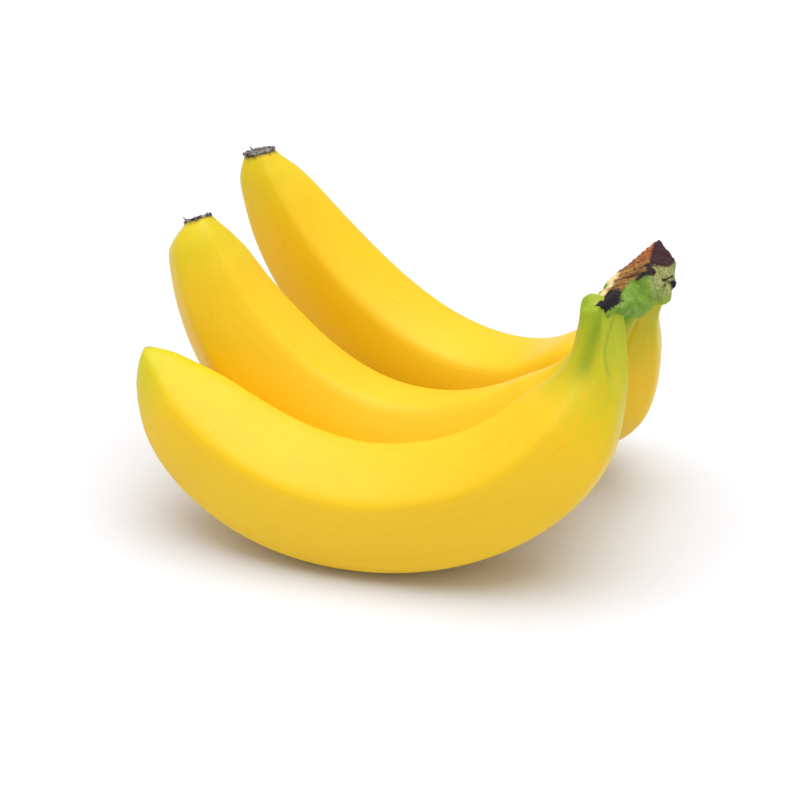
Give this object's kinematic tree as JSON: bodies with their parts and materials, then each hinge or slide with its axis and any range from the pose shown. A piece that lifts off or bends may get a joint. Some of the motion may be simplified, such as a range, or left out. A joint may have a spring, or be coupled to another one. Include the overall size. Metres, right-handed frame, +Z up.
{
  "type": "bunch of bananas",
  "caption": "Small bunch of ripe, curved yellow bananas with green stalks, still joined at a cut and partly dried crown.",
  "frame": {"origin": "on the table under the middle of the bunch's bounding box", "axes": "+Z up from the table; the fruit's tips point to -X and the crown is at +X; the viewer of the picture stands at -Y"},
  "size_m": [0.1574, 0.1384, 0.0901],
  "materials": {
    "peel": "satin, smooth ripe banana peel",
    "crown_skin": "matt green stem skin with a brown, dried cut face",
    "dry_blossom": "matt, dry and fibrous"
  },
  "bodies": {
    "root": {"crown": "crown_skin", "banana_front": "peel", "banana_middle": "peel", "banana_rear": "peel", "blossom_end_front": "dry_blossom", "blossom_end_middle": "dry_blossom", "blossom_end_rear": "dry_blossom"}
  },
  "joints": []
}
